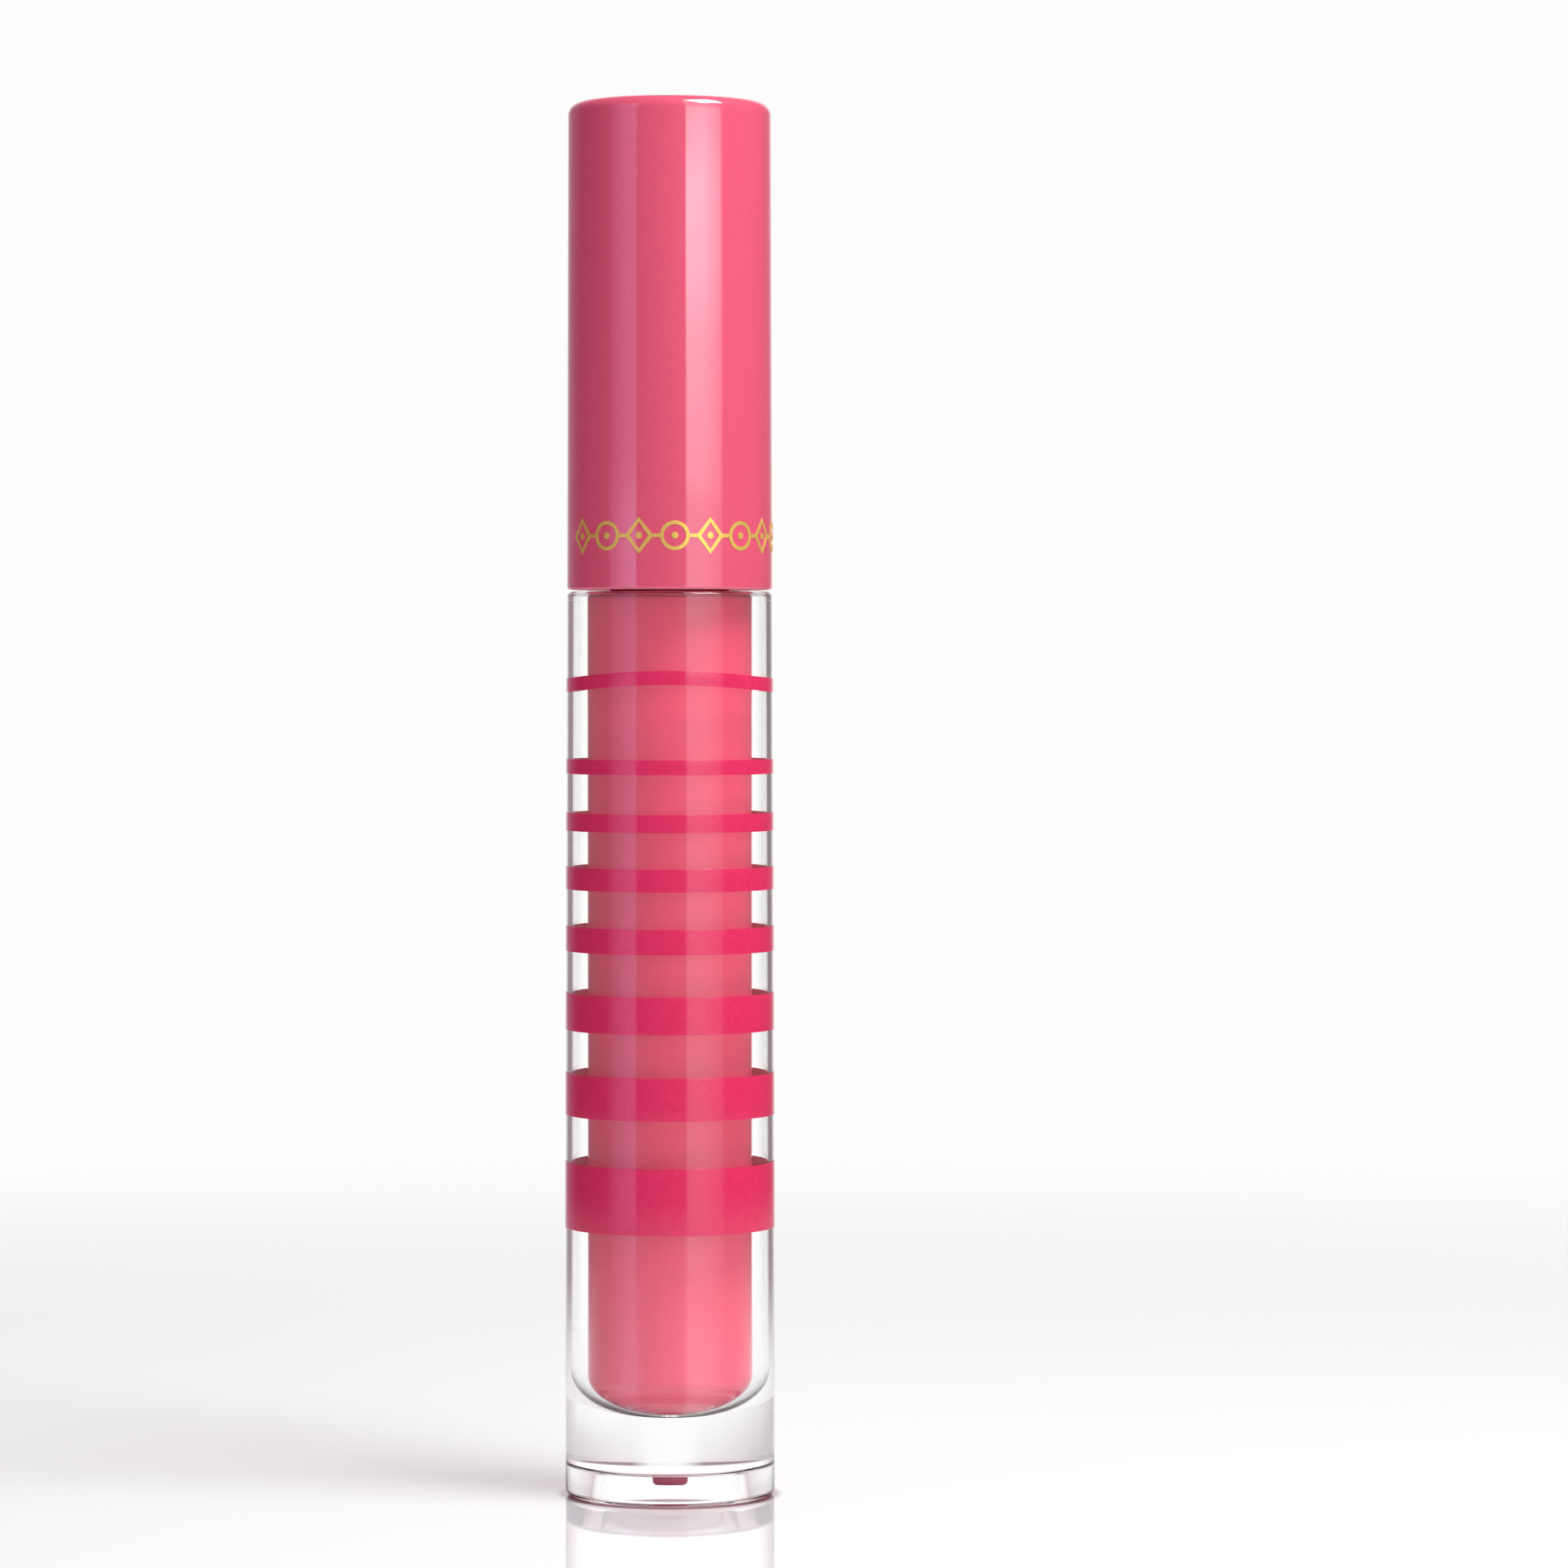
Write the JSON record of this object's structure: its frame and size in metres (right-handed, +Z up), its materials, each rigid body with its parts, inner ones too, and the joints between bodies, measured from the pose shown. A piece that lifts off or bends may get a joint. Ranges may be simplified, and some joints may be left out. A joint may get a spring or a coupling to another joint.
{
  "type": "lip gloss tube",
  "caption": "Slim round lip gloss tube: clear double-wall bottle with printed bands, pink gloss inside, and a screw cap that carries a flocked wand.",
  "frame": {"origin": "centre of the foot, on the surface the tube stands on", "axes": "+Z up along the tube's axis, from the foot to the cap; -Y is the front, where the cap's ornament starts at the left"},
  "size_m": [0.0174, 0.0174, 0.1145],
  "materials": {
    "clear_plastic": "clear moulded polyester, polished",
    "gloss": "opaque pink cream, wet",
    "ink": "deep rose screen print",
    "cap_plastic": "high gloss pink with a fine pearl",
    "insert_plastic": "moulded, plain",
    "gold_foil": "hot-stamped gold foil",
    "white_plastic": "milky white, polished",
    "wiper_plastic": "soft milky polyethylene",
    "seal_foam": "foamed liner",
    "tip_core": "soft moulded core",
    "flock": "short nylon flock, wet with gloss",
    "label_film": "satin film with a plain rose dot"
  },
  "bodies": {
    "bottle": {"outer_shell": "clear_plastic", "inner_vial": "clear_plastic", "gloss_fill": "gloss", "wiper": "wiper_plastic", "base_label": "label_film", "band_1": "ink", "band_2": "ink", "band_3": "ink", "band_4": "ink", "band_5": "ink", "band_6": "ink", "band_7": "ink", "band_8": "ink"},
    "seal": {"seal_washer": "seal_foam"},
    "wand": {"wand_stem": "white_plastic"},
    "cap": {"cap_overshell": "cap_plastic", "cap_insert": "insert_plastic", "foil_trim": "gold_foil", "applicator_core": "tip_core", "flock_sleeve": "flock"}
  },
  "joints": [
    {"name": "cap_lift", "type": "slide", "parent": "bottle", "child": "seal", "axis": [0, 0, 1], "range_m": [0, 0.085], "deforming": ["wiper"]},
    {"name": "thread_rise", "type": "slide", "parent": "seal", "child": "wand", "axis": [0, 0, 1], "range_m": [0, 0.0036]},
    {"name": "cap_twist", "type": "hinge", "parent": "wand", "child": "cap", "pos_m": [0, 0, 0.08], "axis": [0, 0, 1], "range_deg": [0, 450]}
  ],
  "couplings": [
    {"joint": "thread_rise", "follows": "cap_twist", "m_per_rad": 0.00044563}
  ]
}
